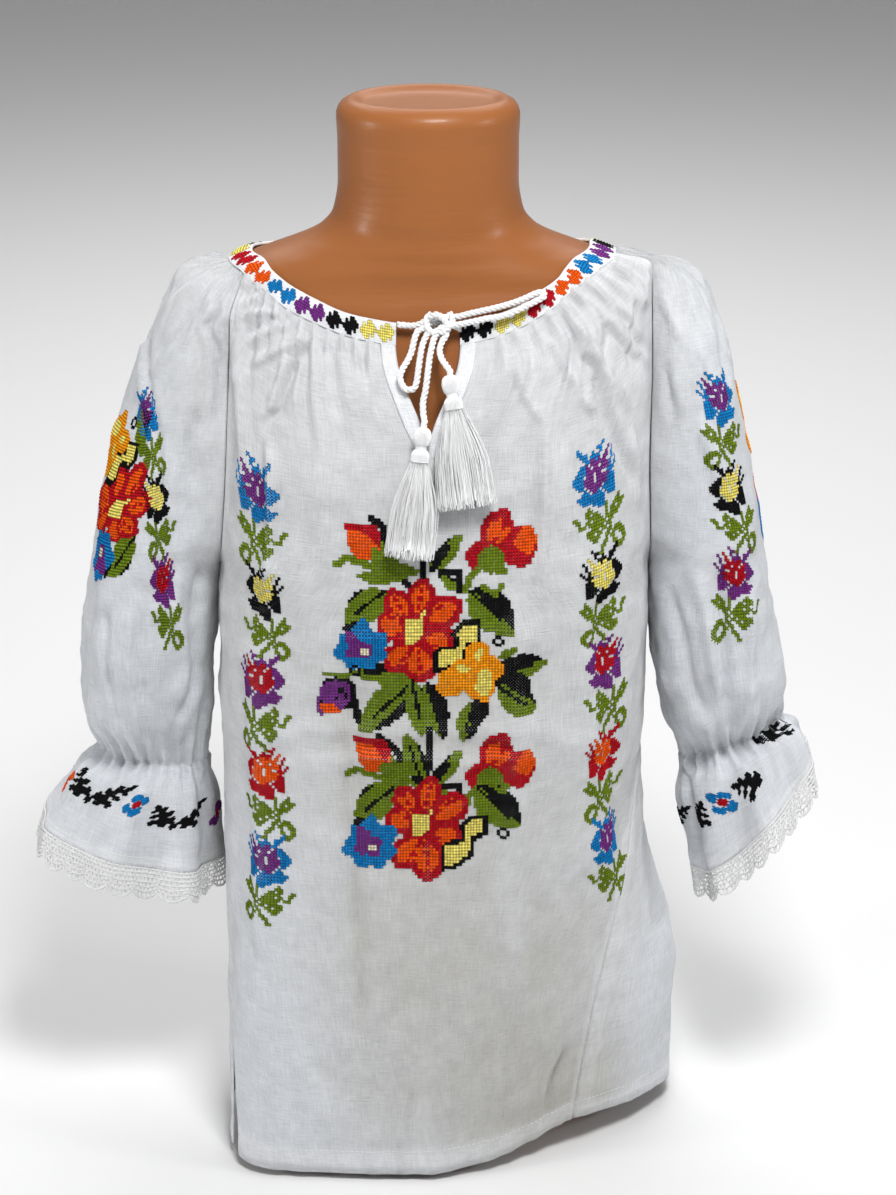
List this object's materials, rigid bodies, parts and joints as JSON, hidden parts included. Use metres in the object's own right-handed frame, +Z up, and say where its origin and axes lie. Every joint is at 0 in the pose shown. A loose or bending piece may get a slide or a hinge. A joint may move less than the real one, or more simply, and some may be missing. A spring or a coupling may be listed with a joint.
{
  "type": "romanian ie blouse on a limbless dress form",
  "caption": "Child's gathered peasant blouse with cross-stitch flowers, ruffled lace cuffs and a tasselled neck string, worn by a limbless plastic dress form.",
  "frame": {"origin": "middle of the dress form's flat base, on the surface it stands on", "axes": "+Z up along the form, -Y towards the front of the blouse, -X towards the wearer's right"},
  "size_m": [0.4149, 0.186, 0.551],
  "materials": {
    "white_cotton": "plain woven semi-sheer cotton",
    "band_cotton": "folded cotton band with cross-stitch",
    "facing_cotton": "doubled cotton strip",
    "crochet_lace": "crocheted cotton thread",
    "cord_cotton": "twisted mercerised cotton",
    "brown_plastic": "glossy moulded"
  },
  "bodies": {
    "root": {"dress_form": "brown_plastic", "front": "white_cotton", "back": "white_cotton", "sleeve_right": "white_cotton", "sleeve_left": "white_cotton", "neckband": "band_cotton", "slit_facing_right": "facing_cotton", "slit_facing_left": "facing_cotton", "lace_right": "crochet_lace", "lace_left": "crochet_lace", "drawstring_run_right": "cord_cotton", "drawstring_run_left": "cord_cotton", "bow_knot": "cord_cotton", "bow_loop_right": "cord_cotton", "bow_loop_left": "cord_cotton", "drawstring_tail_right": "cord_cotton", "drawstring_tail_left": "cord_cotton", "tassel_right": "cord_cotton", "tassel_left": "cord_cotton"}
  },
  "joints": []
}
